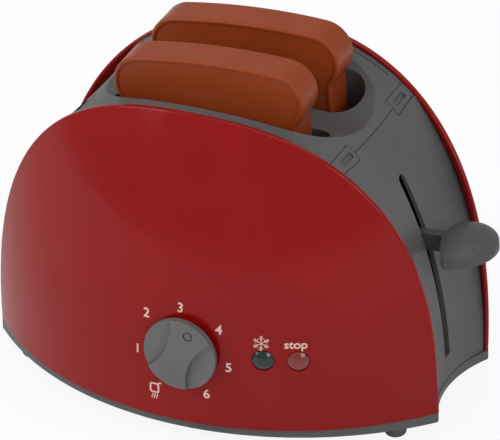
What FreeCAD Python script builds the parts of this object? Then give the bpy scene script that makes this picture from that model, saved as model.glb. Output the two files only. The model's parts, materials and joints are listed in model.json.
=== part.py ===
import FreeCAD, Part
import math
import os

os.makedirs("parts", exist_ok=True)
V = FreeCAD.Vector

# A toy toaster in millimetres, +Z up, standing on the plane z = 0.
# X runs along the length with the lever at +X, and the dial is on the -Y side.

# Housing
panel_half_length = 95.0
panel_height = 123.0
panel_bottom = 10.0
panel_edge = 3.0
panel_fillet = 0.9
belly_depth = 69.9
belly_rise = 0.0816
belly_curve = 0.00234
bow_radius = 125.0
outline_x_power = 2.35
outline_z_power = 2.64
outline_points = 15
wall = 2.2
side_gap = 0.2
flange_depth = 6.0
flange_wall = 1.8

# Ends and top between the two panels
end_half_length = 88.3
end_ellipse_height = 137.5
end_hollow_low = 0.0158
end_hollow_fall = 0.00012
rim_step = 1.7
seam_x = 56.9
seam_gap = 0.3
tongue_reach = 3.1
tongue_start = 19.4
tongue_recess_width = 2.2
groove_width = 0.4
groove_depth = 0.8
groove_end_x = 59.0
rim_groove_gap = 2.5
tongue_recess_length = 10.0
dish_floor = 104.8
dish_flat = 33.0
dish_end_radius = 73.0
dish_side_radius = 46.5
slot_spacing = 35.0
slot_half_width = 10.3
slot_half_length = 45.1
skirt_wall = 2.0
skirt_bottom = 94.0
lever_slot_width = 4.8
lever_slot_low = 20.2
lever_slot_high = 98.0

# Base and feet
base_bottom = 5.6
base_floor = 2.0
base_wall = 2.4
base_inset = 2.1
base_bow_radius = 129.7
base_end = 88.5
base_end_radius = 54.0
base_fillet = 0.8
foot_x = 79.0
foot_y = 31.5
foot_radius = 4.4
foot_tip_radius = 3.0
foot_stem_radius = 1.9

# Toasts and the carriage that lifts them, built upright and then leaned over
lean_degrees = 3.9
lean_centre = V(-1.8, 0, 120.8)
toast_half_width = 40.5
toast_body_half_width = 36.5
toast_lobe_radius = 11.9
toast_neck_radius = 4.0
toast_corner_radius = 6.0
toast_crown = 1.6
toast_height = 76.0
toast_thickness = 15.7
toast_top = 145.8
toast_rim = 1.5
toast_recess = 0.7
rod_x = 55.5
rod_y = 10.0
rod_radius = 1.5
rod_clearance = 0.05
rod_low = 6.5
rod_high = 100.5
carriage_low = 62.0
carriage_high = 74.0
bush_radius = 4.5
cradle_floor = 2.5
cradle_lip = 3.0
cradle_wall = 1.3
spring_seat = 8.2
spring_wire = 0.35
spring_radius = 2.4
spring_turns = 8.0

# Lever
arm_width = 4.2
arm_low = 62.6
arm_high = 69.8
paddle_inner = 84.0
paddle_outer = 105.2
paddle_tip_x = 89.3
paddle_tip_y = 17.0
paddle_rim = 64.9
paddle_lip = 1.2
paddle_dome = 7.2

# Dial and buttons
dial_x = 5.0
control_z = 42.0
dial_radius = 15.2
dial_depth = 3.2
dial_crown = 1.2
dial_bore = 2.4
dial_gap = 0.75
scoop_radius = 23.5
scoop_nearest = 5.6
scoop_floor = 2.0
pointer_radius = 11.0
dial_step_degrees = 24.66
dial_notches = 13
shaft_radius = 3.0
button_x = {"defrost_button": 37.0, "stop_button": 50.0}
button_radius = 4.2
button_dome = 1.7
button_flange = 5.2
button_bore = 5.5
plunger_radius = 2.0
plunger_length = {"defrost_button": 14.5, "stop_button": 16.0}
bracket_plate = 1.6

# Latch
latch_pivot_y = -40.0
latch_pivot_z = 36.0
latch_hub_radius = 3.2
latch_pin_radius = 1.5
screw_radius = 1.5
ear_x = 48.8
ear_y = 31.0
ear_z = 102.0
base_boss_x = 45.0
base_boss_y = 52.0
end_screw_x = 79.0
dial_boss_x = 17.0
dial_bracket_y = -54.0
bracket_depth = 11.15
bracket_screw_rise = 9.5
frame_shift = V(-6.93, 2.27, 0)


def save(name, shape):
    shape = moved(shape, frame_shift.x, frame_shift.y, 0)
    solids = shape.Solids
    volume = sum(solid.Volume for solid in solids)
    print(name, len(solids), "solids", round(volume / 1000, 2), "cm3", "valid", shape.isValid())
    shape.exportStep("parts/" + name + ".step")


def box(x0, x1, y0, y1, z0, z1):
    return Part.makeBox(x1 - x0, y1 - y0, z1 - z0, V(x0, y0, z0))


def rod(radius, start, end):
    along = end - start
    return Part.makeCylinder(radius, along.Length, start, along)


def moved(shape, x=0.0, y=0.0, z=0.0):
    copy = shape.copy()
    copy.translate(V(x, y, z))
    return copy


def mirrored_x(shape):
    return shape.mirror(V(0, 0, 0), V(1, 0, 0))


def mirrored_y(shape):
    return shape.mirror(V(0, 0, 0), V(0, 1, 0))


def fused(first, *others):
    result = first.fuse(list(others))
    return result.removeSplitter()


def leaned(shape):
    """The guide, the carriage, the lever and the toasts lean together about the Y axis."""
    copy = shape.copy()
    copy.rotate(lean_centre, V(0, 1, 0), -lean_degrees)
    return copy


def parabola(point, slope, start, end):
    """A quadratic curve from its end points and the slope at its start."""
    middle = (start + end) / 2
    first, last = point(start), point(end)
    curve = Part.BezierCurve()
    curve.setPoles([first, first + slope(start) * (middle - start), last])
    return curve.toBSpline()


def carried_face(profile, path):
    """The face made by carrying a profile along a path without turning it."""
    start = path.getPole(1)
    poles = [[p + (q - start) for q in path.getPoles()] for p in profile.getPoles()]
    weights = [[a * b for b in path.getWeights()] for a in profile.getWeights()]
    surface = Part.BSplineSurface()
    surface.buildFromPolesMultsKnots(
        poles, profile.getMultiplicities(), path.getMultiplicities(),
        profile.getKnots(), path.getKnots(), False, False,
        profile.Degree, path.Degree, weights)
    return surface.toShape()


def hollow_face(profile, half_y):
    """A profile carried along Y, bowed in plan, the less the higher it stands."""
    poles = []
    for p in profile.getPoles():
        bend = (end_hollow_low - end_hollow_fall * (p.z - panel_bottom)) * half_y ** 2 / 2
        poles.append([V(p.x + bend, -half_y, p.z), V(p.x - bend, 0, p.z), V(p.x + bend, half_y, p.z)])
    weights = [[w] * 3 for w in profile.getWeights()]
    surface = Part.BSplineSurface()
    surface.buildFromPolesMultsKnots(
        poles, profile.getMultiplicities(), [3, 3], profile.getKnots(), [0.0, 1.0],
        False, False, profile.Degree, 2, weights)
    return surface.toShape()


def panel_depth(x, z):
    """Distance of the panel's outer face from the middle plane of the toaster."""
    up = z - panel_bottom
    sagitta = bow_radius - math.sqrt(bow_radius ** 2 - x ** 2)
    return belly_depth + belly_rise * up - belly_curve * up ** 2 - sagitta


def panel_face(step_in, low=-2.0, high=150.0):
    """The bowed, leaning face of the front panel, moved inwards by step_in."""
    half = 110.0
    arc = Part.Arc(V(-half, -panel_depth(half, low) + step_in, low),
                   V(0, -panel_depth(0, low) + step_in, low),
                   V(half, -panel_depth(half, low) + step_in, low)).toBSpline()
    lean = parabola(lambda z: V(0, -panel_depth(0, z), z),
                    lambda z: V(0, -belly_rise + 2 * belly_curve * (z - panel_bottom), 1), low, high)
    return carried_face(arc, lean)


def outline_prism(drop=0.0, shrink=0.0):
    """The arched outline of the panels as a solid block that runs through in Y."""
    height = panel_height - drop
    half = panel_half_length - shrink
    right = []
    for i in range(outline_points + 1):
        t = math.pi / 4 * (1 - math.cos(math.pi * i / outline_points))
        x = half * math.cos(t) ** (2 / outline_x_power)
        z = height * math.sin(t) ** (2 / outline_z_power)
        right.append(V(x, 0, panel_bottom + z))
    left = [V(-p.x, 0, p.z) for p in reversed(right[:-1])]
    arch = Part.BSplineCurve()
    arch.interpolate(Points=right + left, InitialTangent=V(0, 0, 1), FinalTangent=V(0, 0, -1))
    foot = Part.makeLine(V(-half, 0, panel_bottom), V(half, 0, panel_bottom))
    face = Part.Face(Part.Wire([arch.toShape(), foot]))
    return moved(face.extrude(V(0, 200, 0)), y=-100)


def between_panels(gap):
    """The space between the two panels' inner faces, less a gap on each side."""
    front = panel_face(panel_edge + gap).extrude(V(0, 200, 0))
    return front.common(mirrored_y(front))


def screw(start, along, length, head=2.8, head_height=1.5):
    """A pan head screw whose head stands on start and whose shank runs along."""
    along = V(along).normalize()
    shank = Part.makeCylinder(screw_radius, length, start, along)
    cap = Part.makeCylinder(head, head_height, start - along * head_height, along)
    side = along.cross(V(0.31, 0.53, 0.79)).normalize()
    cross = []
    for arm in (side, along.cross(side)):
        blade = Part.makeBox(3.4, 0.8, 0.8)
        blade.translate(V(-1.7, -0.4, -0.4))
        blade.Placement = FreeCAD.Placement(start - along * head_height,
                                            FreeCAD.Rotation(arm, along.cross(arm), along, "XZY")
                                            ).multiply(blade.Placement)
        cross.append(blade)
    return fused(cap, shank).cut(cross[0]).cut(cross[1])


def coil(centre, axis, radius, wire, length, turns):
    """A round wire wound about an axis that starts at centre."""
    helix = Part.makeHelix(length / turns, length, radius)
    profile = Part.Wire(Part.Circle(V(radius, 0, 0), V(0, 1, 0), wire).toShape())
    spring = Part.Wire(helix.Edges).makePipeShell([profile], True, True)
    turn = FreeCAD.Rotation(V(0, 0, 1), axis)
    spring.Placement = FreeCAD.Placement(centre, turn)
    return spring


def stadium(half_length, radius, low, high, y):
    """An upright block with round ends, long in X."""
    straight = half_length - radius
    body = box(-straight, straight, y - radius, y + radius, low, high)
    ends = [Part.makeCylinder(radius, high - low, V(side * straight, y, low)) for side in (-1, 1)]
    return fused(body, *ends)


# Spaces that several pieces share
arch = outline_prism()
arch_inside = between_panels(side_gap)
arch_flange_inside = between_panels(side_gap + flange_wall)


def end_region(shrink=0.0):
    """The space inside both hollow ends: an ellipse carried along a shallow curve in Y."""
    half_y = 60.0
    length = end_half_length - shrink
    centre = V(0, 0, panel_bottom)
    ellipse = Part.Ellipse(centre + V(0, 0, end_ellipse_height), centre + V(length, 0, 0), centre)
    low = ellipse.parameter(centre + V(length * math.cos(0.06), 0, -end_ellipse_height * math.sin(0.06)))
    high = ellipse.parameter(centre + V(length * math.cos(1.25), 0, end_ellipse_height * math.sin(1.25)))
    profile = Part.ArcOfEllipse(ellipse, min(low, high), max(low, high)).toBSpline()
    face = hollow_face(profile, half_y)
    right = face.extrude(V(-200, 0, 0))
    return right.common(mirrored_x(right))


def dish_region(drop=0.0):
    """The space under the dished top: a flat line with round ends carried along an arc in Y."""
    floor = panel_bottom + dish_floor - drop
    reach, half_y = 40.0, 44.0
    rise = dish_end_radius - math.sqrt(dish_end_radius ** 2 - reach ** 2)
    half_rise = dish_end_radius - math.sqrt(dish_end_radius ** 2 - (reach / 2) ** 2)
    side_rise = dish_side_radius - math.sqrt(dish_side_radius ** 2 - half_y ** 2)
    path = Part.Arc(V(0, -half_y, side_rise), V(0, 0, 0), V(0, half_y, side_rise)).toBSpline()
    flat = Part.LineSegment(V(-dish_flat, 0, floor), V(dish_flat, 0, floor)).toBSpline()
    blocks = []
    for line in (flat, Part.Arc(V(dish_flat, 0, floor), V(dish_flat + reach / 2, 0, floor + half_rise),
                                V(dish_flat + reach, 0, floor + rise)).toBSpline()):
        face = carried_face(line, path)
        face.translate(V(0, -half_y, side_rise))
        blocks.append(face.extrude(V(0, 0, -60)))
    return fused(blocks[0], blocks[1], mirrored_x(blocks[1]))


def slots(radius, low, high):
    """Both bread slots as upright blocks with round ends."""
    half_length = slot_half_length + radius - slot_half_width
    front = stadium(half_length, radius, low, high, -slot_spacing / 2)
    return front, mirrored_y(front)


# The arched body between the panels, first solid, then hollowed
roof = outline_prism(drop=rim_step)
roof_inside = outline_prism(drop=rim_step + wall, shrink=wall)
ends = end_region()
ends_inside = end_region(shrink=wall)
body_block = roof.common(ends).common(arch_inside)
body_hollow = roof_inside.common(ends_inside)
shell_block = body_block.cut(body_hollow)
flange_hollow = outline_prism(drop=rim_step + flange_depth, shrink=flange_depth)
flange_hollow = flange_hollow.common(end_region(shrink=flange_depth))
flange_block = body_block.cut(arch_flange_inside).cut(flange_hollow)
body_shell = fused(shell_block, flange_block)
skin = body_block.cut(outline_prism(drop=rim_step + groove_depth, shrink=groove_depth).common(
    end_region(shrink=groove_depth)))


def tongue_box(grow):
    """The notch over the seam that takes an end cover's snap tongue, at the right rear."""
    return box(seam_x - tongue_reach - grow, seam_x + 8, tongue_start - grow, 60, 90, 140)


def make_top_cover():
    """The dished top with both bread slots, their skirts, and ears for the panel screws."""
    middle = box(-seam_x, seam_x, -60, 60, 60, 150)
    dish = dish_region()
    roof_shell = body_shell.common(middle).common(dish)
    under_dish = body_block.common(middle).common(dish).cut(dish_region(drop=wall)).cut(
        box(-90, 90, -60, 60, 60, 106.0))
    cover = fused(roof_shell, under_dish)
    skirts = []
    for outer, inner in zip(slots(slot_half_width + skirt_wall, skirt_bottom, 140),
                            slots(slot_half_width, skirt_bottom - 1, 150)):
        skirts.append(outer.cut(inner).common(body_block).common(dish))
    cover = fused(cover, *skirts)
    for inner in slots(slot_half_width, skirt_bottom - 1, 150):
        cover = cover.cut(inner)
    for sx in (-1, 1):
        for sy in (-1, 1):
            ear = box(ear_x - 3.5, ear_x + 3.5, ear_y - 1.0, ear_y + 1.0, ear_z - 4, 118).common(
                body_block).common(dish)
            hole = rod(1.6, V(ear_x, ear_y - 6, ear_z), V(ear_x, ear_y + 6, ear_z))
            notch = tongue_box(seam_gap)
            if sx < 0:
                ear, hole, notch = mirrored_x(ear), mirrored_x(hole), mirrored_x(notch)
            if sy < 0:
                ear, hole, notch = mirrored_y(ear), mirrored_y(hole), mirrored_y(notch)
            cover = cover.cut(notch)
            cover = fused(cover, ear).cut(hole)
    ring = between_panels(side_gap + rim_groove_gap).cut(
        between_panels(side_gap + rim_groove_gap + groove_width))
    return cover.cut(ring.common(skin).common(box(-ear_x, ear_x, -60, 60, 60, 150)))


save("top_cover", make_top_cover())


def make_end_cover():
    """The hollow right end: a shell with a side flange, two snap tongues and a foot to screw down."""
    side = box(seam_x + seam_gap, 130, -60, 60, panel_bottom, 150)
    cover = body_shell.common(side)
    middle = body_block.common(box(seam_x - tongue_reach, seam_x + 2, tongue_start, 60, 60, 150))
    tongue = middle.cut(roof_inside)
    recess = stadium(tongue_recess_length / 2, tongue_recess_width / 2, 60, 150, 0)
    recess.rotate(V(0, 0, 0), V(0, 0, 1), 90)
    recess.translate(V(seam_x - 0.3, tongue_start + 1.8 + tongue_recess_length / 2, 0))
    edge = groove_end_x + groove_width
    line = fused(box(groove_end_x, edge, tongue_start, 60, 60, 150),
                 box(seam_x, edge, tongue_start - groove_width, tongue_start, 60, 150))
    marks = fused(recess, line).common(skin)
    cover = fused(cover, tongue, mirrored_y(tongue))
    cover = cover.cut(marks).cut(mirrored_y(marks))
    foot = box(74, end_half_length - 1, -6, 6, panel_bottom, panel_bottom + 2.2)
    cover = fused(cover, foot).cut(rod(1.52, V(end_screw_x, 0, 0), V(end_screw_x, 0, 20)))
    return cover


plain_end = make_end_cover()
save("left_end_cover", mirrored_x(plain_end))
slot_half = lever_slot_width / 2
lever_slot = fused(
    box(50, 120, -slot_half, slot_half, lever_slot_low, lever_slot_high - slot_half),
    rod(slot_half, V(50, 0, lever_slot_high - slot_half), V(120, 0, lever_slot_high - slot_half)))
save("right_end_cover", plain_end.cut(lever_slot))


def panel_boss(x, y, z, reach, radius=3.6, hole=1.52):
    """A boss along Y from the front panel's inner face, with a blind hole for a screw."""
    face = -panel_depth(x, z) + panel_edge
    boss = rod(radius, V(x, face - 1.4, z), V(x, y, z))
    return boss, rod(hole, V(x, y + 0.1, z), V(x, y - reach, z))


def make_panel():
    """A bowed panel with bosses for the ear screws and for the base screws."""
    slab = panel_face(0).extrude(V(0, panel_edge, 0))
    panel = slab.common(arch)
    rim = [edge for edge in panel.Edges if edge.Length > 300]
    panel = panel.makeFillet(panel_fillet, rim)
    inner = panel_face(1.5).extrude(V(0, 100, 0))
    for side in (-1, 1):
        boss, hole = panel_boss(side * ear_x, -ear_y - 1.2, ear_z, 7)
        panel = fused(panel, boss.common(inner)).cut(hole)
        post = rod(4.0, V(side * base_boss_x, -base_boss_y, panel_bottom),
                   V(side * base_boss_x, -base_boss_y, panel_bottom + 14))
        web = box(side * base_boss_x - 1.5, side * base_boss_x + 1.5, -base_boss_y - 14, -base_boss_y - 1,
                  panel_bottom, panel_bottom + 14).common(inner)
        panel = fused(panel, post, web)
        panel = panel.cut(rod(1.52, V(side * base_boss_x, -base_boss_y, panel_bottom - 1),
                              V(side * base_boss_x, -base_boss_y, panel_bottom + 10)))
    return panel


plain_panel = make_panel()
save("rear_panel", mirrored_y(plain_panel))


def button_frame(name):
    """Where a button's axis meets the panel's outer face, and its outward direction."""
    x = button_x[name]
    angle = math.asin(x / bow_radius)
    return V(x, -panel_depth(x, control_z), control_z), V(math.sin(angle), -math.cos(angle), 0)


def bracket_fixing():
    """The middle of the button bracket and the direction its screws point in."""
    first, first_out = button_frame("defrost_button")
    second, second_out = button_frame("stop_button")
    middle = (first - first_out * bracket_depth + second - second_out * bracket_depth) * 0.5
    return middle, (first_out + second_out).normalize()


dial_face = panel_depth(dial_x, control_z)
front_panel = plain_panel
inner_side = panel_face(1.5).extrude(V(0, 100, 0))
sleeves = []
bores = []
for name in button_x:
    start, out = button_frame(name)
    sleeves.append(rod(7.0, start, start - out * 11).common(inner_side))
    bores.append(rod(button_bore, start - out * 3.3, start - out * 30))
    bores.append(rod(button_radius + 0.25, start + out * 5, start - out * 6))
middle, outward = bracket_fixing()
for side in (-1, 1):
    seat = middle + V(0, 0, side * bracket_screw_rise)
    sleeves.append(rod(3.3, seat, seat + outward * 12).common(inner_side))
    bores.append(rod(1.52, seat, seat + outward * 7))
front_panel = fused(front_panel, *sleeves)
for side in (-1, 1):
    x = dial_x + side * dial_boss_x
    boss, hole = panel_boss(x, dial_bracket_y - bracket_plate, control_z, 6)
    front_panel = fused(front_panel, boss.common(inner_side)).cut(hole)
for bore in bores:
    front_panel = front_panel.cut(bore)
front_panel = front_panel.cut(rod(shaft_radius + 0.3, V(dial_x, -90, control_z), V(dial_x, -55, control_z)))
save("front_panel", front_panel)


def base_outline(inset, end_inset):
    """The base seen from above: two bowed sides and two hollow ends."""
    half = base_end - end_inset
    radius = base_end_radius + end_inset
    depth = panel_depth(0, panel_bottom) - base_inset - inset
    bow = base_bow_radius - inset
    bow_centre = V(0, bow - depth, 0)
    end_centre = V(half + radius, 0, 0)
    bowed = Part.makeCylinder(bow, 60, bow_centre).common(
        Part.makeCylinder(bow, 60, V(bow_centre.x, -bow_centre.y, 0)))
    hollow = Part.makeCylinder(radius, 60, end_centre)
    block = bowed.cut(hollow).cut(mirrored_x(hollow))
    return block.common(box(-half - 7.5, half + 7.5, -depth - 5, depth + 5, 0, 60))


def make_base():
    """A shallow tray with screw holes, foot holes, the guide's seat and two latch posts."""
    tray = base_outline(0, 0).common(box(-130, 130, -90, 90, base_bottom, panel_bottom))
    corners = [e for e in tray.Edges if abs(e.BoundBox.ZLength - (panel_bottom - base_bottom)) < 0.01]
    tray = tray.makeFillet(1.2, corners)
    under = [e for e in tray.Edges if e.BoundBox.ZMax < base_bottom + 0.01]
    tray = tray.makeFillet(base_fillet, under)
    pocket = base_outline(base_wall, base_wall).common(
        box(-130, 130, -90, 90, base_bottom + base_floor, panel_bottom + 1))
    tray = tray.cut(pocket)
    floor = base_bottom + base_floor
    pads = []
    holes = []
    for sx in (-1, 1):
        for sy in (-1, 1):
            pads.append(rod(4.6, V(sx * base_boss_x, sy * base_boss_y, floor - 1),
                            V(sx * base_boss_x, sy * base_boss_y, panel_bottom)))
            holes.append(rod(1.7, V(sx * base_boss_x, sy * base_boss_y, 0),
                             V(sx * base_boss_x, sy * base_boss_y, 20)))
            holes.append(rod(foot_stem_radius, V(sx * foot_x, sy * foot_y, 0),
                             V(sx * foot_x, sy * foot_y, 20)))
        pads.append(rod(4.6, V(sx * end_screw_x, 0, floor - 1), V(sx * end_screw_x, 0, panel_bottom)))
        holes.append(rod(1.7, V(sx * end_screw_x, 0, 0), V(sx * end_screw_x, 0, 20)))
    for x in (38.5, 64.0):
        post = box(x, x + 2.2, latch_pivot_y - 4, latch_pivot_y + 4, floor - 1, latch_pivot_z)
        top = rod(4.0, V(x, latch_pivot_y, latch_pivot_z), V(x + 2.2, latch_pivot_y, latch_pivot_z))
        pads.append(fused(post, top))
    holes.append(rod(latch_pin_radius, V(30, latch_pivot_y, latch_pivot_z),
                     V(80, latch_pivot_y, latch_pivot_z)))
    tray = fused(tray, *pads)
    for hole in holes:
        tray = tray.cut(hole)
    return tray


base_tray = make_base()


def make_foot(x, y):
    """A tapered round foot with a rounded tip and a stem pressed up through the base."""
    tip = Part.Arc(V(foot_tip_radius, 0, 0), V(foot_radius - 0.35, 0, 0.7), V(foot_radius, 0, 2.0))
    corners = [V(0, 0, 0), V(foot_tip_radius, 0, 0)]
    rise = [V(foot_radius, 0, 2.0), V(foot_radius, 0, base_bottom), V(foot_stem_radius, 0, base_bottom),
            V(foot_stem_radius, 0, panel_bottom), V(0, 0, panel_bottom), V(0, 0, 0)]
    edges = [Part.makeLine(corners[0], corners[1]), tip.toShape()]
    edges += [Part.makeLine(a, b) for a, b in zip(rise, rise[1:])]
    foot = Part.Face(Part.Wire(edges)).revolve(V(0, 0, 0), V(0, 0, 1), 360)
    return moved(foot, x, y, 0)


for name, sx, sy in (("foot_front_right", 1, -1), ("foot_front_left", -1, -1),
                     ("foot_rear_right", 1, 1), ("foot_rear_left", -1, 1)):
    save(name, make_foot(sx * foot_x, sy * foot_y))
base_screws = [screw(V(sx * base_boss_x, sy * base_boss_y, base_bottom), V(0, 0, 1), 12.0)
               for sx in (-1, 1) for sy in (-1, 1)]
base_screws += [screw(V(sx * end_screw_x, 0, base_bottom), V(0, 0, 1), 6.4) for sx in (-1, 1)]
save("base_screws", Part.makeCompound(base_screws))
panel_screws = [screw(V(sx * ear_x, sy * (ear_y - 1), ear_z), V(0, sy, 0), 7.5)
                for sx in (-1, 1) for sy in (-1, 1)]
save("panel_screws", Part.makeCompound(panel_screws))


def make_guide():
    """The upright that holds the two guide rods, with a foot on the base and a plate on top."""
    spine = box(45.5, 48.6, -4.8, 4.8, 0, rod_high)
    top = box(45.5, 59.0, -14.0, 14.0, rod_high - 2.6, rod_high)
    seat = box(43.0, 62.0, -15.0, 15.0, -4, spring_seat)
    frame = leaned(fused(spine, top, seat))
    frame = frame.common(box(-100, 100, -60, 60, base_bottom + base_floor, 150))
    for sy in (-1, 1):
        hole = leaned(rod(rod_radius, V(rod_x, sy * rod_y, rod_low), V(rod_x, sy * rod_y, 120)))
        frame = frame.cut(hole)
    for sy in (-1, 1):
        frame = frame.cut(rod(1.52, V(52, sy * 5, 0), V(52, sy * 5, 14)))
    return frame


save("guide_frame", make_guide())
base_tray = base_tray.cut(rod(1.7, V(52, 5, 0), V(52, 5, 20))).cut(rod(1.7, V(52, -5, 0), V(52, -5, 20)))
save("base_tray", base_tray)
save("frame_screws", Part.makeCompound([screw(V(52, sy * 5, base_bottom), V(0, 0, 1), 7.5)
                                        for sy in (-1, 1)]))
for name, sy in (("front", -1), ("rear", 1)):
    guide_rod = rod(rod_radius, V(rod_x, sy * rod_y, rod_low), V(rod_x, sy * rod_y, rod_high))
    save("guide_rod_" + name, leaned(guide_rod))
    wound = coil(V(rod_x, sy * rod_y, spring_seat + 0.5), V(0, 0, 1), spring_radius, spring_wire,
                 carriage_low - spring_seat - 1.0, spring_turns)
    save("carriage_spring_" + name, leaned(wound))


def make_carriage():
    """A cross plate on two bushes, two cradles under the toasts and the ledge that the latch holds."""
    cradle_top = toast_top - toast_height
    plate = box(rod_x - 2, rod_x + 2, -27, 27, carriage_low, carriage_high)
    parts = []
    cuts = []
    for sy in (-1, 1):
        y = sy * slot_spacing / 2
        parts.append(rod(bush_radius, V(rod_x, sy * rod_y, carriage_low), V(rod_x, sy * rod_y, carriage_high)))
        half = toast_thickness / 2 + 0.4
        parts.append(box(-43, rod_x - 1, y - half - cradle_wall, y + half + cradle_wall,
                         cradle_top - cradle_floor, cradle_top))
        rib_end = V(-30, 0, cradle_top - cradle_floor - 0.5)
        rib = Part.makePolygon([V(-30, y - 1, cradle_top - 1), V(rod_x, y - 1, cradle_top - 1),
                                V(rod_x, y - 1, carriage_low), V(rib_end.x, y - 1, rib_end.z),
                                V(-30, y - 1, cradle_top - 1)])
        parts.append(Part.Face(rib).extrude(V(0, 2, 0)))
        for side in (-1, 1):
            edge = y + side * (half + cradle_wall / 2)
            parts.append(box(-43, 40, edge - cradle_wall / 2, edge + cradle_wall / 2,
                             cradle_top - 1, cradle_top + cradle_lip))
        cuts.append(rod(rod_radius + rod_clearance, V(rod_x, sy * rod_y, 0), V(rod_x, sy * rod_y, 120)))
    parts.append(box(rod_x - 4.5, rod_x + 1.5, -36, -20, carriage_low, carriage_low + 4))
    carriage = fused(plate, *parts)
    for cut in cuts:
        carriage = carriage.cut(cut)
    for z in (64.2, 71.8):
        carriage = carriage.cut(rod(1.52, V(40, 0, z), V(70, 0, z)))
    return carriage


save("toast_carriage", leaned(make_carriage()))


def make_arm():
    """The flat arm that runs out through the end slot, with a flange screwed to the carriage."""
    arm = box(rod_x + 2, paddle_inner + 9, -arm_width / 2, arm_width / 2, arm_low, arm_high)
    flange = box(rod_x + 2, rod_x + 4.4, -5, 5, carriage_low + 0.4, carriage_high - 0.4)
    arm = fused(arm, flange)
    for z in (64.2, 71.8):
        arm = arm.cut(rod(1.6, V(40, 0, z), V(66, 0, z)))
    return arm


lever_arm = make_arm()
lever_screws = [screw(V(rod_x - 2, 0, z), V(1, 0, 0), 6.2, head=2.4, head_height=1.2) for z in (64.2, 71.8)]
save("lever_screws", leaned(Part.makeCompound(lever_screws)))


def make_paddle():
    """A leaf-shaped handle: a thin lip with a half-egg dome on it."""
    outer_radius = ((paddle_outer - paddle_tip_x) ** 2 + paddle_tip_y ** 2) / (
        2 * (paddle_outer - paddle_tip_x))
    inner_radius = ((paddle_tip_x - paddle_inner) ** 2 + paddle_tip_y ** 2) / (
        2 * (paddle_tip_x - paddle_inner))
    low = paddle_rim - paddle_lip
    leaf = Part.makeCylinder(outer_radius, 12, V(paddle_outer - outer_radius, 0, low)).common(
        Part.makeCylinder(inner_radius, 12, V(paddle_inner + inner_radius, 0, low)))
    egg = Part.makeSphere(1.0)
    stretch = FreeCAD.Matrix()
    stretch.scale(14.6, paddle_tip_y + 0.6, paddle_dome)
    egg = egg.transformGeometry(stretch)
    egg = moved(egg, paddle_outer - 14.4, 0, paddle_rim - 0.4)
    lip = leaf.common(box(0, 200, -40, 40, low, paddle_rim))
    return fused(lip, egg.common(leaf))


paddle = make_paddle()
socket = box(paddle_inner - 1, paddle_inner + 9, -arm_width / 2, arm_width / 2, arm_low, arm_high)
paddle = paddle.cut(socket)
save("lever_handle", leaned(paddle))
save("lever_arm", leaned(lever_arm))


def make_toast(y):
    """A slice with a domed crown, round lobes, a drawn-in neck and a raised rim on both faces."""
    half = toast_half_width - toast_lobe_radius
    lobe = V(half, 0, toast_top - toast_crown - toast_lobe_radius)
    neck_x = toast_body_half_width + toast_neck_radius
    reach = toast_lobe_radius + toast_neck_radius
    drop = math.sqrt(reach ** 2 - (neck_x - half) ** 2)
    neck = V(neck_x, 0, lobe.z - drop)
    meet = lobe + (neck - lobe) * (toast_lobe_radius / reach)
    waist = V(toast_body_half_width, 0, neck.z)
    middle = math.atan2(waist.z - neck.z, waist.x - neck.x) % (2 * math.pi)
    first = math.atan2(meet.z - neck.z, meet.x - neck.x) % (2 * math.pi)
    turn = (middle + first) / 2
    neck_middle = neck + V(math.cos(turn), 0, math.sin(turn)) * toast_neck_radius
    bottom = toast_top - toast_height
    corner = V(toast_body_half_width - toast_corner_radius, 0, bottom + toast_corner_radius)
    diagonal = V(math.cos(math.pi / 4), 0, -math.sin(math.pi / 4)) * toast_corner_radius
    depth = toast_crown + toast_lobe_radius
    crown_radius = (half ** 2 + depth ** 2 - toast_lobe_radius ** 2) / (2 * toast_crown)
    crown_centre = V(0, 0, toast_top - crown_radius)
    lobe_top = lobe + (lobe - crown_centre).normalize() * toast_lobe_radius
    side = lobe + V(math.cos(0.1), 0, math.sin(0.1)) * toast_lobe_radius
    right = [Part.Arc(lobe_top, side, meet).toShape(),
             Part.Arc(meet, neck_middle, waist).toShape(),
             Part.makeLine(waist, V(toast_body_half_width, 0, corner.z)),
             Part.Arc(V(toast_body_half_width, 0, corner.z), corner + diagonal,
                      V(corner.x, 0, bottom)).toShape()]
    crown = Part.Arc(V(-lobe_top.x, 0, lobe_top.z), V(0, 0, toast_top), lobe_top).toShape()
    floor = Part.makeLine(V(-corner.x, 0, bottom), V(corner.x, 0, bottom))
    left = [mirrored_x(edge) for edge in right]
    wire = Part.Wire(Part.__sortEdges__([crown, floor] + right + left))
    block = Part.Face(wire).extrude(V(0, toast_thickness, 0))
    rims = [e for e in block.Edges if e.BoundBox.YLength < 0.01]
    block = block.makeFillet(1.1, rims)
    inner = wire.makeOffset2D(-toast_rim)
    recess = Part.Face(inner).extrude(V(0, toast_recess, 0))
    block = block.cut(recess).cut(moved(recess, y=toast_thickness - toast_recess))
    return moved(block, lean_centre.x, y - toast_thickness / 2, 0)


save("front_toast", leaned(make_toast(-slot_spacing / 2)))
save("rear_toast", leaned(make_toast(slot_spacing / 2)))


def make_button(name):
    """A domed cap on a flanged body, with a plunger that ends in a round tip."""
    start, out = button_frame(name)
    dome_radius = (button_radius ** 2 + button_dome ** 2) / (2 * button_dome)
    cap = rod(button_radius, start + out * button_dome, start - out * 4.6)
    ball = Part.makeSphere(dome_radius, start - out * (dome_radius - button_dome))
    cap = cap.common(ball)
    flange = rod(button_flange, start - out * 3.6, start - out * 4.8)
    length = plunger_length[name]
    plunger = rod(plunger_radius, start - out * 4, start - out * (length - plunger_radius))
    tip = Part.makeSphere(plunger_radius, start - out * (length - plunger_radius))
    return fused(cap, flange, plunger, tip)


for name in button_x:
    save(name, make_button(name))
    start, out = button_frame(name)
    wound = coil(start - out * 5.1, out * -1, 2.75, 0.3, 5.4, 5.0)
    save(name + "_spring", wound)


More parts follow.
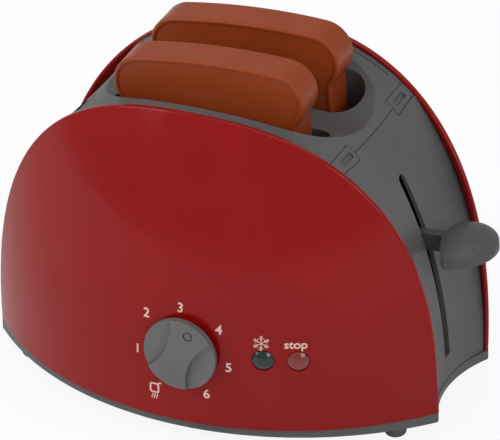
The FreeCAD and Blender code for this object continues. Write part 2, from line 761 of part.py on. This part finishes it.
def make_button_bracket():
    """The folded plate behind both button sleeves, with a hole for each plunger."""
    plates = []
    corners = []
    far = []
    for name in button_x:
        start, out = button_frame(name)
        back = bracket_depth + bracket_plate
        plates.append(rod(7.0, start - out * bracket_depth, start - out * back))
        corners.append(start - out * bracket_depth)
        far.append(start - out * back)
    ring = [corner + V(0, 0, -12.5) for corner in (corners[0], corners[1], far[1], far[0], corners[0])]
    bracket = fused(Part.Face(Part.makePolygon(ring)).extrude(V(0, 0, 25)), *plates)
    for name in button_x:
        start, out = button_frame(name)
        bracket = bracket.cut(rod(plunger_radius + 0.1, start - out * 5, start - out * 20))
    middle, outward = bracket_fixing()
    for side in (-1, 1):
        seat = middle + V(0, 0, side * bracket_screw_rise)
        bracket = bracket.cut(rod(1.6, seat + outward * 5, seat - outward * 5))
    return bracket


save("button_bracket", make_button_bracket())
bracket_screws = [screw(middle - outward * bracket_plate + V(0, 0, side * bracket_screw_rise), outward, 6.6)
                  for side in (-1, 1)]
save("bracket_screws", Part.makeCompound(bracket_screws))


def make_dial():
    """A low round knob with a waisted grip between two scooped hollows, and a raised pointer dot."""
    back = -dial_face - dial_gap
    knob = rod(dial_radius, V(dial_x, back, control_z), V(dial_x, back - dial_depth, control_z))
    crown_radius = (dial_radius ** 2 + dial_crown ** 2) / (2 * dial_crown)
    knob = fused(knob, rod(dial_radius, V(dial_x, back - dial_depth, control_z),
                           V(dial_x, back - dial_depth - dial_crown, control_z)))
    knob = knob.common(Part.makeSphere(crown_radius, V(dial_x, back - dial_depth - dial_crown
                                                       + crown_radius, control_z)))
    rim = [e for e in knob.Edges if e.BoundBox.YMax < back - dial_depth + 0.2 and e.Length > 60]
    knob = knob.makeFillet(0.9, rim)
    for side in (-1, 1):
        centre = V(dial_x + side * (scoop_radius + scoop_nearest), back - scoop_floor - 12, control_z)
        knob = knob.cut(Part.makeCylinder(scoop_radius, 12, centre, V(0, 1, 0)))
    dot = rod(1.3, V(dial_x, back - 2, control_z + pointer_radius),
              V(dial_x, back - dial_depth - 0.8, control_z + pointer_radius))
    ring = rod(2.1, V(dial_x, back - dial_depth - 0.1, control_z + pointer_radius),
               V(dial_x, back - dial_depth - 3, control_z + pointer_radius))
    knob = fused(knob.cut(ring), dot)
    knob = knob.cut(rod(shaft_radius, V(dial_x, 0, control_z), V(dial_x, back - dial_bore, control_z)))
    knob.rotate(V(dial_x, 0, control_z), V(0, 1, 0), dial_step_degrees)
    return knob


save("dial_knob", make_dial())
shaft_back = dial_bracket_y + 4.0
save("dial_shaft", rod(shaft_radius, V(dial_x, -dial_face - dial_gap - dial_bore, control_z),
                       V(dial_x, shaft_back, control_z)))


def make_detent_wheel():
    """A thin wheel on the shaft with a round notch for each half step of the dial."""
    wheel = rod(9.0, V(dial_x, -62.0, control_z), V(dial_x, -59.5, control_z))
    hub = rod(5.0, V(dial_x, -62.5, control_z), V(dial_x, -57.0, control_z))
    wheel = fused(wheel, hub)
    for i in range(dial_notches):
        angle = math.radians(90 + dial_step_degrees * i)
        x = dial_x + 9.4 * math.cos(angle)
        z = control_z + 9.4 * math.sin(angle)
        wheel = wheel.cut(rod(1.4, V(x, -63, z), V(x, -59, z)))
    return wheel.cut(rod(shaft_radius, V(dial_x, -80, control_z), V(dial_x, -40, control_z)))


save("detent_wheel", make_detent_wheel())


def make_dial_bracket():
    """The bar behind the dial that carries the end of its shaft."""
    bar = box(dial_x - dial_boss_x - 4.5, dial_x + dial_boss_x + 4.5,
              dial_bracket_y - bracket_plate, dial_bracket_y, control_z - 5, control_z + 5)
    hub = rod(5.2, V(dial_x, dial_bracket_y - 2.4, control_z), V(dial_x, shaft_back - 0.6, control_z))
    bracket = fused(bar, hub)
    bracket = bracket.cut(rod(shaft_radius + 0.06, V(dial_x, -80, control_z), V(dial_x, -40, control_z)))
    for side in (-1, 1):
        x = dial_x + side * dial_boss_x
        bracket = bracket.cut(rod(1.6, V(x, -80, control_z), V(x, -40, control_z)))
    return bracket


save("dial_bracket", make_dial_bracket())
dial_screws = [screw(V(dial_x + side * dial_boss_x, dial_bracket_y, control_z), V(0, -1, 0), 6.6)
               for side in (-1, 1)]
save("dial_screws", Part.makeCompound(dial_screws))


def make_detent_spring():
    """A bent strip from the bracket bar whose round nose sits in a notch of the wheel."""
    z = control_z + 8.95
    foot = box(dial_x + 8, dial_x + 12.8, dial_bracket_y - bracket_plate - 0.7,
               dial_bracket_y - bracket_plate, control_z - 4, control_z + 4)
    arm = box(dial_x + 8, dial_x + 9, -62, dial_bracket_y - bracket_plate, control_z + 2, z + 2.4)
    arm = arm.cut(rod(9.6, V(dial_x, -70, control_z), V(dial_x, -57, control_z)))
    strip = box(dial_x - 1, dial_x + 9, -61.6, -59.9, z + 1.4, z + 2.2)
    nose = rod(1.2, V(dial_x, -61.6, z + 1.0), V(dial_x, -59.9, z + 1.0))
    return fused(foot, arm, strip, nose)


save("detent_spring", make_detent_spring())


def make_latch():
    """A rocker: a hub on the pin, a tail that the stop plunger meets and a hook for the ledge."""
    y, z = latch_pivot_y, latch_pivot_z
    hub = rod(latch_hub_radius, V(41.0, y, z), V(63.4, y, z))
    tip_start, tip_out = button_frame("stop_button")
    tip = tip_start - tip_out * plunger_length["stop_button"]
    tail = box(41.0, 46.4, tip.y + 0.51, y + 1.0, z, z + 10)
    hook = box(57.4, 63.0, y - 1.6, y + 1.4, z - 12, z)
    nose = Part.makePolygon([V(57.4, y - 1.6, z - 12), V(57.4, y + 3.4, z - 11.6),
                             V(57.4, y + 1.4, z - 8), V(57.4, y - 1.6, z - 8), V(57.4, y - 1.6, z - 12)])
    latch = fused(hub, tail, hook, Part.Face(nose).extrude(V(5.6, 0, 0)))
    return latch.cut(rod(latch_pin_radius + 0.05, V(30, y, z), V(80, y, z)))


save("latch_rocker", make_latch())
save("latch_pin", rod(latch_pin_radius, V(38.0, latch_pivot_y, latch_pivot_z),
                      V(66.6, latch_pivot_y, latch_pivot_z)))
save("latch_spring", coil(V(47.4, latch_pivot_y, latch_pivot_z), V(1, 0, 0), latch_hub_radius + 0.6,
                          0.3, 8.0, 6.0))
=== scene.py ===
import json
import math

import bpy
import numpy as np
from mathutils import Matrix, Vector


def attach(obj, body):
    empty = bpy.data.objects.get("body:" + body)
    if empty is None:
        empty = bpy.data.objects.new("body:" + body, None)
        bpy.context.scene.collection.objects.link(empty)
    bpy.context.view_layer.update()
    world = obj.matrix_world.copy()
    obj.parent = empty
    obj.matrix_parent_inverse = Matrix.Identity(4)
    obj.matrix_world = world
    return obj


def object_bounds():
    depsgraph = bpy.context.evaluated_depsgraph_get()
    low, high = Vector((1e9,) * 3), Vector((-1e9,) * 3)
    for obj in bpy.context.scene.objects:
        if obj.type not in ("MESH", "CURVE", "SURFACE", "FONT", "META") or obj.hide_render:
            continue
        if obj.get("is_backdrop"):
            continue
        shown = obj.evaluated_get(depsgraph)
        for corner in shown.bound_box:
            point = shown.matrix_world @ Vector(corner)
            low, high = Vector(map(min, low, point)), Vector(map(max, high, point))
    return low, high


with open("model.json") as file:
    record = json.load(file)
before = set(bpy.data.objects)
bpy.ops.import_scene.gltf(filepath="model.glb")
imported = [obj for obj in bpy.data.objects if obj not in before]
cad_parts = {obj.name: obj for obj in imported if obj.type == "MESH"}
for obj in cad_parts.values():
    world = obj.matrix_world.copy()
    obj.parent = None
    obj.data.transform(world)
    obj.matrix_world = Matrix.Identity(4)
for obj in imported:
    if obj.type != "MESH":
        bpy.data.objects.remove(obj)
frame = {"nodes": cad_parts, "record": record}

millimetre = 0.001
# the CAD drawing's own zero, seen from the middle of the object's footprint
drawingOffset = np.array([-6.93, 2.27, 0.0])
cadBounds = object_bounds()


def plainList(value):
    # nested vectors as nested lists of floats
    if hasattr(value, "__len__"):
        return [plainList(item) for item in value]
    return float(value)


def place(points):
    # drawing millimetres to scene metres: (p + offset) / 1000
    return (np.asarray(points, dtype=float) + drawingOffset) * millimetre


# the photograph's viewpoint, in drawing millimetres and degrees

cameraView = {
    "azimuth": 24.337,
    "elevation": 29.869,
    "roll": -0.916,
    "distance": 2649.3,
    "aim": (3.312, 0.0, 63.468),
    "focalPixels": 6674.86,
    "imageWidth": 500,
    "sensor": 36.0,
    "clipStart": 0.1,
    "clipEnd": 20.0,
}


def makeCamera(view):
    # the lens looks along -Z of a frame built from azimuth, elevation and roll
    a = math.radians(view["azimuth"])
    e = math.radians(view["elevation"])
    r = math.radians(view["roll"])
    away = Vector((math.sin(a) * math.cos(e), -math.cos(a) * math.cos(e), math.sin(e)))
    right = Vector((math.cos(a), math.sin(a), 0.0))
    up = away.cross(right)
    turnedRight = right * math.cos(r) + up * math.sin(r)
    turnedUp = up * math.cos(r) - right * math.sin(r)
    data = bpy.data.cameras.new("photoCamera")
    data.sensor_width = view["sensor"]
    data.lens = view["focalPixels"] * view["sensor"] / view["imageWidth"]
    data.clip_start = view["clipStart"]
    data.clip_end = view["clipEnd"]
    camera = bpy.data.objects.new("photoCamera", data)
    spot = Vector(place(view["aim"])) + away * view["distance"] * millimetre
    axes = Matrix((turnedRight, turnedUp, away)).transposed()
    camera.matrix_world = Matrix.Translation(spot) @ axes.to_4x4()
    bpy.context.scene.collection.objects.link(camera)
    bpy.context.scene.camera = camera


makeCamera(cameraView)
print("camera set")


def newMaterial(name):
    material = bpy.data.materials.new(name)
    material.use_nodes = True
    tree = material.node_tree
    shader = tree.nodes["Principled BSDF"]
    return material, tree, shader


def linear(rgb):
    # sRGB bytes to linear light
    values = [v / 255.0 for v in rgb]
    light = [v / 12.92 if v <= 0.04045 else ((v + 0.055) / 1.055) ** 2.4 for v in values]
    return tuple(light) + (1.0,)


def noiseNode(tree, scale, detail=3.0, rough=0.55, stretch=(1, 1, 1)):
    coords = tree.nodes.new("ShaderNodeTexCoord")
    mapping = tree.nodes.new("ShaderNodeMapping")
    mapping.inputs["Scale"].default_value = stretch
    noise = tree.nodes.new("ShaderNodeTexNoise")
    noise.inputs["Scale"].default_value = scale
    noise.inputs["Detail"].default_value = detail
    noise.inputs["Roughness"].default_value = rough
    tree.links.new(coords.outputs["Object"], mapping.inputs["Vector"])
    tree.links.new(mapping.outputs["Vector"], noise.inputs["Vector"])
    return noise


def rampNode(tree, source, low, high, start=0.35, end=0.65):
    ramp = tree.nodes.new("ShaderNodeMapRange")
    ramp.inputs["From Min"].default_value = start
    ramp.inputs["From Max"].default_value = end
    ramp.inputs["To Min"].default_value = low
    ramp.inputs["To Max"].default_value = high
    tree.links.new(source, ramp.inputs["Value"])
    return ramp.outputs["Result"]


# what a finish has unless its own entry says otherwise
plainFinish = {
    "driftDetail": 2.0,
    "grainDetail": 3.0,
    "grainRough": 0.6,
    "stretch": (1, 1, 1),
    "specular": 0.5,
    "coat": 0.0,
    "coatRoughness": 0.03,
    "metal": 0.0,
}


def finishMaterial(name, ownLook):
    # colour drifts between two close tones, roughness and bump follow finer noise
    look = {**plainFinish, **ownLook}
    material, tree, shader = newMaterial(name)
    drift = noiseNode(tree, look["driftScale"], look["driftDetail"])
    mix = tree.nodes.new("ShaderNodeMix")
    mix.data_type = "RGBA"  # its colours are inputs 6 and 7, and output 2
    mix.inputs[6].default_value = linear(look["colour"])
    mix.inputs[7].default_value = linear(look["second"])
    tree.links.new(rampNode(tree, drift.outputs["Fac"], 0.0, 1.0), mix.inputs[0])
    tree.links.new(mix.outputs[2], shader.inputs["Base Color"])
    fine = noiseNode(tree, look["grainScale"], look["grainDetail"], look["grainRough"],
                     look["stretch"])
    tree.links.new(rampNode(tree, fine.outputs["Fac"], look["roughLow"], look["roughHigh"]),
                   shader.inputs["Roughness"])
    bump = tree.nodes.new("ShaderNodeBump")
    bump.inputs["Strength"].default_value = look["bumpStrength"]
    bump.inputs["Distance"].default_value = look["bumpHeight"] * millimetre
    tree.links.new(fine.outputs["Fac"], bump.inputs["Height"])
    tree.links.new(bump.outputs["Normal"], shader.inputs["Normal"])
    shader.inputs["Specular IOR Level"].default_value = look["specular"]
    shader.inputs["Coat Weight"].default_value = look["coat"]
    shader.inputs["Coat Roughness"].default_value = look["coatRoughness"]
    shader.inputs["Metallic"].default_value = look["metal"]
    return material


finishLooks = {
    "red_gloss": {
        "colour": (139, 11, 9), "second": (133, 8, 9), "driftScale": 18.0, "grainScale": 260.0,
        "roughLow": 0.12, "roughHigh": 0.18, "bumpStrength": 0.02, "bumpHeight": 0.01,
        "specular": 0.22,
    },
    "grey_housing": {
        "colour": (90, 90, 90), "second": (85, 85, 86), "driftScale": 25.0, "grainScale": 1800.0,
        "roughLow": 0.36, "roughHigh": 0.46, "bumpStrength": 0.25, "bumpHeight": 0.02,
        "specular": 0.3,
    },
    "dark_base": {
        "colour": (84, 84, 85), "second": (77, 77, 79), "driftScale": 30.0, "grainScale": 1700.0,
        "roughLow": 0.34, "roughHigh": 0.46, "bumpStrength": 0.25, "bumpHeight": 0.02,
    },
    "spring_steel": {
        "colour": (168, 168, 170), "second": (148, 148, 152), "driftScale": 60.0,
        "grainScale": 900.0, "stretch": (0.1, 1, 1), "roughLow": 0.22, "roughHigh": 0.38,
        "bumpStrength": 0.15, "bumpHeight": 0.01, "metal": 1.0,
    },
    "inner_plastic": {
        "colour": (66, 66, 67), "second": (58, 58, 60), "driftScale": 35.0, "grainScale": 1500.0,
        "roughLow": 0.45, "roughHigh": 0.6, "bumpStrength": 0.2, "bumpHeight": 0.02,
    },
    "lever_grey": {
        "colour": (69, 71, 71), "second": (64, 66, 66), "driftScale": 60.0, "grainScale": 1900.0,
        "roughLow": 0.38, "roughHigh": 0.5, "bumpStrength": 0.3, "bumpHeight": 0.02,
    },
    "knob_grey": {
        "colour": (96, 96, 95), "second": (90, 90, 90), "driftScale": 60.0, "grainScale": 2000.0,
        "roughLow": 0.3, "roughHigh": 0.4, "bumpStrength": 0.15, "bumpHeight": 0.01,
    },
    "toast_brown": {
        "colour": (147, 63, 27), "second": (138, 58, 25), "driftScale": 22.0, "grainScale": 300.0,
        "grainDetail": 5.0, "roughLow": 0.26, "roughHigh": 0.36, "bumpStrength": 0.12,
        "bumpHeight": 0.015, "specular": 0.2,
    },
    "button_red": {
        "colour": (128, 34, 26), "second": (112, 36, 24), "driftScale": 200.0, "grainScale": 600.0,
        "roughLow": 0.12, "roughHigh": 0.2, "bumpStrength": 0.03, "bumpHeight": 0.01, "coat": 0.3,
    },
    "button_dark": {
        "colour": (14, 32, 34), "second": (10, 24, 28), "driftScale": 200.0, "grainScale": 600.0,
        "roughLow": 0.12, "roughHigh": 0.2, "bumpStrength": 0.03, "bumpHeight": 0.01, "coat": 0.3,
    },
    "panel_print": {
        "colour": (226, 190, 180), "second": (214, 176, 166), "driftScale": 300.0,
        "grainScale": 1500.0, "roughLow": 0.35, "roughHigh": 0.5, "bumpStrength": 0.1,
        "bumpHeight": 0.01,
    },
}
finishes = {name: finishMaterial(name, look) for name, look in finishLooks.items()}

for part in frame["record"]["subparts"]:
    nodeObject = frame["nodes"][part["node"]]
    for holder in nodeObject.material_slots:
        holder.material = finishes[part["material_slot"]]

# the front panel's outer face, which the prints lie on
frontPanel = {
    "depth": 69.9,
    "rise": 0.0816,
    "curve": 0.00234,
    "bow": 125.0,
    "bottom": 10.0,
}


def panelPoints(x, z, lift):
    # depth = base + rise h - curve h^2 - (R - sqrt(R^2 - x^2)), h the height over the panel's foot
    height = z - frontPanel["bottom"]
    bow = frontPanel["bow"]
    depth = (frontPanel["depth"] + frontPanel["rise"] * height - frontPanel["curve"] * height ** 2
             - (bow - np.sqrt(bow ** 2 - x ** 2)))
    return np.stack([x, -depth - lift, z], axis=-1)


def meshObject(name, points, faces, finish, body, smooth=True):
    mesh = bpy.data.meshes.new(name)
    mesh.from_pydata(points.tolist(), [], [list(map(int, face)) for face in faces])
    mesh.polygons.foreach_set("use_smooth", np.full(len(mesh.polygons), smooth))
    mesh.materials.append(finishes[finish])
    mesh.update()
    piece = bpy.data.objects.new(name, mesh)
    bpy.context.scene.collection.objects.link(piece)
    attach(piece, body)
    return piece


# centres are x and z on the panel
prints = {
    "lift": 0.05,
    "bolder": 0.022,
    "curveSteps": 6,
    "numberHeight": 4.0,
    "digitShare": 0.73,
    "numbers": {"1": (-14.4, 38.8), "2": (-10.7, 55.2), "3": (3.7, 60.4), "4": (19.7, 53.7),
                "5": (23.9, 37.8), "6": (15.0, 24.7)},
    "word": "stop",
    "wordCentre": (48.95, 48.4),
    "wordSize": 4.8,
}


def textPoints(letters, size):
    # the built-in letters, made a little bolder and flat, centred on their own box
    curve = bpy.data.curves.new("print" + letters, "FONT")
    curve.body = letters
    curve.size = size
    curve.offset = size * prints["bolder"]
    curve.resolution_u = prints["curveSteps"]
    holder = bpy.data.objects.new("print" + letters, curve)
    bpy.context.scene.collection.objects.link(holder)
    bpy.context.view_layer.update()
    mesh = bpy.data.meshes.new_from_object(holder)
    flat = np.empty(len(mesh.vertices) * 3)
    mesh.vertices.foreach_get("co", flat)
    flat = flat.reshape(-1, 3)[:, :2]
    faces = [tuple(face.vertices) for face in mesh.polygons]
    bpy.data.objects.remove(holder)
    bpy.data.meshes.remove(mesh)
    middle = (flat.min(axis=0) + flat.max(axis=0)) / 2
    return flat - middle, faces


def strokePoints(path, width):
    # a ribbon of even width along a flat path: each point moves half the width along the normal
    path = np.asarray(path, dtype=float)
    along = np.gradient(path, axis=0)
    along /= np.linalg.norm(along, axis=1)[:, None]
    normal = np.stack([-along[:, 1], along[:, 0]], axis=1)
    left = path + normal * width / 2
    right = path - normal * width / 2
    count = len(path)
    faces = [(i + count, i + 1 + count, i + 1, i) for i in range(count - 1)]
    return np.concatenate([left, right]), faces


def joined(pieces):
    # several flat shapes as one, each face index raised by the points before it
    points = []
    faces = []
    for flat, part in pieces:
        start = sum(len(block) for block in points)
        points.append(flat)
        faces += [tuple(index + start for index in face) for face in part]
    return np.concatenate(points), faces


def printOnPanel(name, flat, faces, centre):
    # flat artwork wrapped on the bowed face, a hair in front of it
    x = flat[:, 0] + centre[0]
    z = flat[:, 1] + centre[1]
    points = place(panelPoints(x, z, prints["lift"]))
    return meshObject(name, points, faces, "panel_print", "housing", False)


for letters, spot in prints["numbers"].items():
    flat, faces = textPoints(letters, prints["numberHeight"] / prints["digitShare"])
    printOnPanel("print_" + letters, flat, faces, spot)
flat, faces = textPoints(prints["word"], prints["wordSize"])
printOnPanel("print_word", flat, faces, prints["wordCentre"])


# all but the centre and the size are shares of the size
snow = {
    "centre": (36.2, 49.4),
    "size": 3.3,
    "branches": ((0.45, 0.34), (0.72, 0.26)),
    "branchOut": 0.75,
    "branchUp": 0.62,
    "stroke": 0.085,
    "pathPoints": 4,
}


def snowflake():
    # six arms with two pairs of side branches, each arm the first one turned by 60 degrees
    size = snow["size"]
    steps = np.linspace(0, 1, snow["pathPoints"])[:, None]
    arm = [np.array([[0, size]]) * steps]
    for height, reach in snow["branches"]:
        for side in (-1, 1):
            root = np.array([[0, size * height]])
            tip = np.array([[side * size * reach * snow["branchOut"],
                             size * (height + reach * snow["branchUp"])]])
            arm.append(root * (1 - steps) + tip * steps)
    strokes = []
    for k in range(6):
        cosine, sine = math.cos(k * math.pi / 3), math.sin(k * math.pi / 3)
        turn = np.array([[cosine, -sine], [sine, cosine]])
        strokes += [strokePoints(path @ turn.T, size * snow["stroke"]) for path in arm]
    return joined(strokes)


flat, faces = snowflake()
printOnPanel("print_snowflake", flat, faces, snow["centre"])

bread = {
    "centre": (-7.1, 21.2),
    "ringHalfWidth": 1.75,
    "ringHalfHeight": 1.95,
    "ringMiddle": 1.6,
    "ringPower": 0.35,
    "ringPoints": 61,
    "ringStroke": 0.75,
    "waveColumns": (-1.0, 0.0, 1.0),
    "waveSwing": 0.32,
    "waveTop": -1.1,
    "waveLength": 2.3,
    "wavePoints": 17,
    "waveStroke": 0.42,
    "dashStart": (1.7, 3.9),
    "dashEnd": (3.0, 4.3),
    "dashPoints": 3,
    "dashStroke": 0.7,
}


def breadSign():
    # a ring |x/a|^(2/p) + |z/b|^(2/p) = 1, three upright sine waves under it and a dash beside it
    turn = np.linspace(0, 2 * math.pi, bread["ringPoints"])
    power = bread["ringPower"]
    across = bread["ringHalfWidth"] * np.sign(np.cos(turn)) * np.abs(np.cos(turn)) ** power
    upright = bread["ringHalfHeight"] * np.sign(np.sin(turn)) * np.abs(np.sin(turn)) ** power
    ring = np.stack([across, upright + bread["ringMiddle"]], axis=1)
    parts = [strokePoints(ring, bread["ringStroke"])]
    down = np.linspace(0, 1, bread["wavePoints"])
    for column in bread["waveColumns"]:
        wave = np.stack([column + bread["waveSwing"] * np.sin(down * 2 * math.pi),
                         bread["waveTop"] - bread["waveLength"] * down], axis=1)
        parts.append(strokePoints(wave, bread["waveStroke"]))
    dash = np.linspace(bread["dashStart"], bread["dashEnd"], bread["dashPoints"])
    parts.append(strokePoints(dash, bread["dashStroke"]))
    return joined(parts)


flat, faces = breadSign()
printOnPanel("print_bread", flat, faces, bread["centre"])
print("prints laid on the panel")

# raised dots on the lever handle, their spots in plan
handleDots = {
    "radius": 0.75,
    "height": 0.45,
    "sink": 0.05,
    "castFrom": 300.0,
    "rings": 7,
    "around": 20,
    "spots": [(102.1, -8.3), (105.5, -3.5), (106.3, 2.2), (104.9, 8.5)],
}


def surfaceUnder(node, x, y):
    # the highest point of a node at a place in plan, and the way the surface faces there
    source = frame["nodes"][node]
    top = Vector(place((x, y, handleDots["castFrom"])))
    hit, spot, normal, index = source.ray_cast(top, Vector((0, 0, -1)))
    return spot if hit else None, normal


def handleDot(name, spot, normal):
    # a cap: height h (1 - r^2) over a disc of radius R, sunk a little, turned to the normal
    radius, around, rings = handleDots["radius"], handleDots["around"], handleDots["rings"]
    turns = np.linspace(0, 2 * math.pi, around, endpoint=False)
    ring, turn = np.meshgrid(np.linspace(0, 1, rings), turns, indexing="ij")
    height = handleDots["height"] * (1 - ring ** 2) - handleDots["sink"]
    cap = np.stack([ring * np.cos(turn) * radius, ring * np.sin(turn) * radius, height], axis=-1)
    peak = np.array([[0, 0, handleDots["height"] - handleDots["sink"]]])
    points = np.concatenate([peak, cap[1:].reshape(-1, 3)]) * millimetre
    faces = [(0, 1 + k, 1 + (k + 1) % around) for k in range(around)]
    for row in range(rings - 2):
        inner = 1 + row * around
        outer = inner + around
        faces += [(inner + k, outer + k, outer + (k + 1) % around, inner + (k + 1) % around)
                  for k in range(around)]
    turnTo = np.array(Vector((0, 0, 1)).rotation_difference(normal).to_matrix())
    return meshObject(name, points @ turnTo.T + np.array(spot), faces, "lever_grey", "carriage")


for count, (x, y) in enumerate(handleDots["spots"]):
    spot, normal = surfaceUnder("lever_handle", x, y)
    if spot is not None:
        handleDot("handle_dot_%d" % (count + 1), spot, normal)
print("dots raised on the handle")

stage = {
    "floorHalf": 6.0,
    "floorColour": (238, 238, 238),
    "floorRoughness": 0.8,
    "floorWhiteShare": 0.9,
    "worldStrength": 0.5,
}


def whiteForCamera(tree):
    # 1 for camera and glass rays, which see plain white, and 0 for every other ray
    rays = tree.nodes.new("ShaderNodeLightPath")
    most = tree.nodes.new("ShaderNodeMath")
    most.operation = "MAXIMUM"
    tree.links.new(rays.outputs["Is Camera Ray"], most.inputs[0])
    tree.links.new(rays.outputs["Is Transmission Ray"], most.inputs[1])
    return most


def makeWorld():
    world = bpy.data.worlds.new("studio")
    bpy.context.scene.world = world
    world.use_nodes = True
    tree = world.node_tree
    output = tree.nodes["World Output"]
    soft = tree.nodes["Background"]
    soft.inputs["Color"].default_value = (1, 1, 1, 1)
    soft.inputs["Strength"].default_value = stage["worldStrength"]
    white = tree.nodes.new("ShaderNodeBackground")
    white.inputs["Color"].default_value = (1, 1, 1, 1)
    white.inputs["Strength"].default_value = 1.0
    mix = tree.nodes.new("ShaderNodeMixShader")
    tree.links.new(whiteForCamera(tree).outputs[0], mix.inputs[0])
    tree.links.new(soft.outputs[0], mix.inputs[1])
    tree.links.new(white.outputs[0], mix.inputs[2])
    tree.links.new(mix.outputs[0], output.inputs["Surface"])


def makeFloor():
    half = stage["floorHalf"]
    mesh = bpy.data.meshes.new("floor")
    corners = [(-half, -half, 0), (half, -half, 0), (half, half, 0), (-half, half, 0)]
    mesh.from_pydata(corners, [], [(0, 1, 2, 3)])
    floor = bpy.data.objects.new("floor", mesh)
    bpy.context.scene.collection.objects.link(floor)
    material, tree, shader = newMaterial("paleFloor")
    shader.inputs["Base Color"].default_value = linear(stage["floorColour"])
    shader.inputs["Roughness"].default_value = stage["floorRoughness"]
    white = tree.nodes.new("ShaderNodeEmission")
    white.inputs["Color"].default_value = (1, 1, 1, 1)
    mix = tree.nodes.new("ShaderNodeMixShader")
    share = tree.nodes.new("ShaderNodeMath")
    share.operation = "MULTIPLY"
    share.inputs[1].default_value = stage["floorWhiteShare"]
    tree.links.new(whiteForCamera(tree).outputs[0], share.inputs[0])
    tree.links.new(share.outputs[0], mix.inputs[0])
    tree.links.new(shader.outputs[0], mix.inputs[1])
    tree.links.new(white.outputs[0], mix.inputs[2])
    tree.links.new(mix.outputs[0], tree.nodes["Material Output"].inputs["Surface"])
    mesh.materials.append(material)
    floor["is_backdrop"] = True


def areaLight(name, spot, target, size, power):
    data = bpy.data.lights.new(name, "AREA")
    data.shape = "RECTANGLE"
    data.size, data.size_y = size
    data.energy = power
    light = bpy.data.objects.new(name, data)
    light.location = spot
    light.rotation_euler = (Vector(target) - Vector(spot)).to_track_quat("-Z", "Y").to_euler()
    bpy.context.scene.collection.objects.link(light)


# places and sizes in metres, power in watts
lamps = {
    "keyLeft": {
        "spot": (-1.1, -0.9, 1.0), "target": (0, 0, 0.06),
        "size": (0.9, 0.9), "power": 12.0,
    },
    "top": {
        "spot": (0.1, 0.2, 1.6), "target": (0, 0, 0.06),
        "size": (1.2, 1.2), "power": 5.0,
    },
    "fillRight": {
        "spot": (1.3, -0.7, 0.8), "target": (0, 0, 0.06),
        "size": (0.8, 0.8), "power": 7.0,
    },
}

makeWorld()
makeFloor()
for name, lamp in lamps.items():
    areaLight(name, lamp["spot"], lamp["target"], lamp["size"], lamp["power"])
bpy.context.scene.view_settings.view_transform = "Standard"
print("floor and lights set")

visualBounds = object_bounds()
{"cad": plainList(cadBounds), "visual": plainList(visualBounds)}
